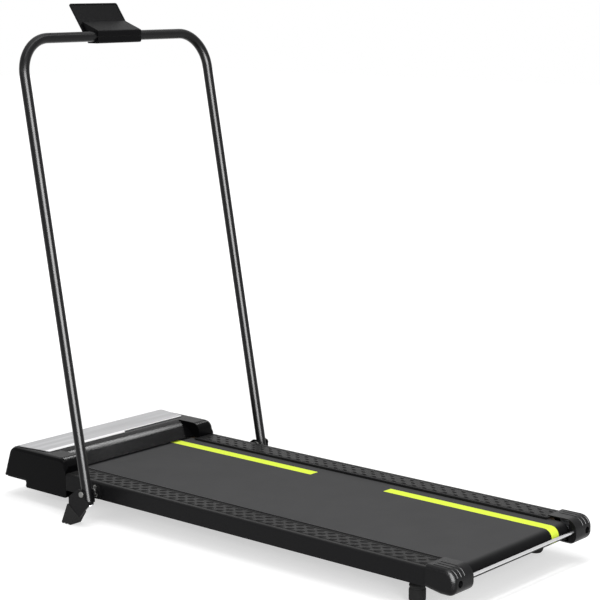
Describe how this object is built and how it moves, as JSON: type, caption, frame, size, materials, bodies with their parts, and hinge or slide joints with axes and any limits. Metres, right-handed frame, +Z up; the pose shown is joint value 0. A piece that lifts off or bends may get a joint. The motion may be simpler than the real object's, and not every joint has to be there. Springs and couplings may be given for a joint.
{
  "type": "folding treadmill",
  "caption": "Low folding walking treadmill with a motor hood at its head, an endless belt between foot rails and a U-shaped handrail that folds down over the deck.",
  "frame": {"origin": "on the floor, under the middle of the machine's bounding box", "axes": "+Z up, +Y along the deck towards the motor hood, +X to the right hand of a walker who faces the hood"},
  "size_m": [0.592, 1.244, 1.0912],
  "materials": {
    "gloss_black_paint": "gloss black powder coat on steel tube",
    "satin_black_steel": "satin black paint on folded steel",
    "waxed_board": "waxed fibreboard",
    "belt_grey": "fine-grained dark grey belt",
    "black_rubber": "moulded black rubber",
    "bright_steel": "bright turned steel",
    "cast_aluminium": "plain cast or extruded aluminium",
    "moulded_black_plastic": "satin black moulding",
    "foot_rail_plastic": "textured black moulding with a slip-resistant top",
    "brushed_silver_panel": "light brushed silver",
    "circuit_board_green": "green solder mask",
    "console_plastic": "satin black moulding"
  },
  "bodies": {
    "frame": {"side_frame_left": "satin_black_steel", "side_frame_right": "satin_black_steel", "rear_crossmember": "satin_black_steel", "middle_crossmember": "satin_black_steel", "front_crossmember": "satin_black_steel", "hinge_bracket_left": "satin_black_steel", "hinge_bracket_right": "satin_black_steel", "bottom_pan": "satin_black_steel", "wheel_fork_left": "satin_black_steel", "wheel_fork_right": "satin_black_steel", "motor_body": "satin_black_steel", "deck_board": "waxed_board", "running_belt": "belt_grey", "cushion_strip_left": "black_rubber", "cushion_strip_right": "black_rubber", "rear_foot_left": "black_rubber", "rear_foot_right": "black_rubber", "front_shoe_left": "black_rubber", "front_shoe_right": "black_rubber", "drive_belt": "black_rubber", "rear_axle": "bright_steel", "front_axle": "bright_steel", "rear_bearing_left": "bright_steel", "rear_bearing_right": "bright_steel", "front_bearing_left": "bright_steel", "front_bearing_right": "bright_steel", "tension_bolt_left": "bright_steel", "tension_bolt_right": "bright_steel", "rear_bar": "bright_steel", "pivot_bolt_left": "bright_steel", "pivot_bolt_right": "bright_steel", "wheel_axle_left": "bright_steel", "wheel_axle_right": "bright_steel", "rear_axle_block_left": "cast_aluminium", "rear_axle_block_right": "cast_aluminium", "motor_bracket": "cast_aluminium", "heat_sink": "cast_aluminium", "end_cap_left": "moulded_black_plastic", "end_cap_right": "moulded_black_plastic", "motor_hood": "moulded_black_plastic", "power_inlet": "moulded_black_plastic", "switch_bezel": "moulded_black_plastic", "foot_rail_left": "foot_rail_plastic", "foot_rail_right": "foot_rail_plastic", "hood_top_panel": "brushed_silver_panel", "control_board": "circuit_board_green"},
    "handrail": {"handrail_tube": "gloss_black_paint", "hinge_fitting_left": "cast_aluminium", "hinge_fitting_right": "cast_aluminium", "console_block": "console_plastic", "console_clamp": "console_plastic", "device_plate": "console_plastic"},
    "front_roller": {"front_roller": "bright_steel", "roller_pulley": "cast_aluminium"},
    "rear_roller": {"rear_roller": "bright_steel"},
    "motor_rotor": {"motor_pulley": "cast_aluminium", "motor_shaft": "bright_steel"},
    "wheel_left": {"transport_wheel_left": "black_rubber"},
    "wheel_right": {"transport_wheel_right": "black_rubber"},
    "rocker": {"power_rocker": "moulded_black_plastic"}
  },
  "joints": [
    {"name": "handrail_fold", "type": "hinge", "parent": "frame", "child": "handrail", "pos_m": [0, 0.3023, 0.0742], "axis": [1, 0, 0], "range_deg": [0, 100]},
    {"name": "front_roller_spin", "type": "hinge", "parent": "frame", "child": "front_roller", "pos_m": [0, 0.475, 0.0641], "axis": [1, 0, 0], "continuous": true},
    {"name": "rear_roller_spin", "type": "hinge", "parent": "frame", "child": "rear_roller", "pos_m": [0, -0.583, 0.0641], "axis": [1, 0, 0], "continuous": true},
    {"name": "motor_spin", "type": "hinge", "parent": "frame", "child": "motor_rotor", "pos_m": [0, 0.535, 0.08], "axis": [1, 0, 0], "continuous": true},
    {"name": "wheel_spin_left", "type": "hinge", "parent": "frame", "child": "wheel_left", "pos_m": [-0.15, 0.58, 0.0545], "axis": [1, 0, 0], "continuous": true},
    {"name": "wheel_spin_right", "type": "hinge", "parent": "frame", "child": "wheel_right", "pos_m": [0.15, 0.58, 0.0545], "axis": [1, 0, 0], "continuous": true},
    {"name": "rocker_tip", "type": "hinge", "parent": "frame", "child": "rocker", "pos_m": [0.158, 0.61012, 0.06504], "axis": [1, 0, 0], "range_deg": [-16, 0]}
  ],
  "couplings": [
    {"joint": "rear_roller_spin", "follows": "front_roller_spin", "ratio": 1},
    {"joint": "motor_spin", "follows": "front_roller_spin", "ratio": 2.2857}
  ]
}
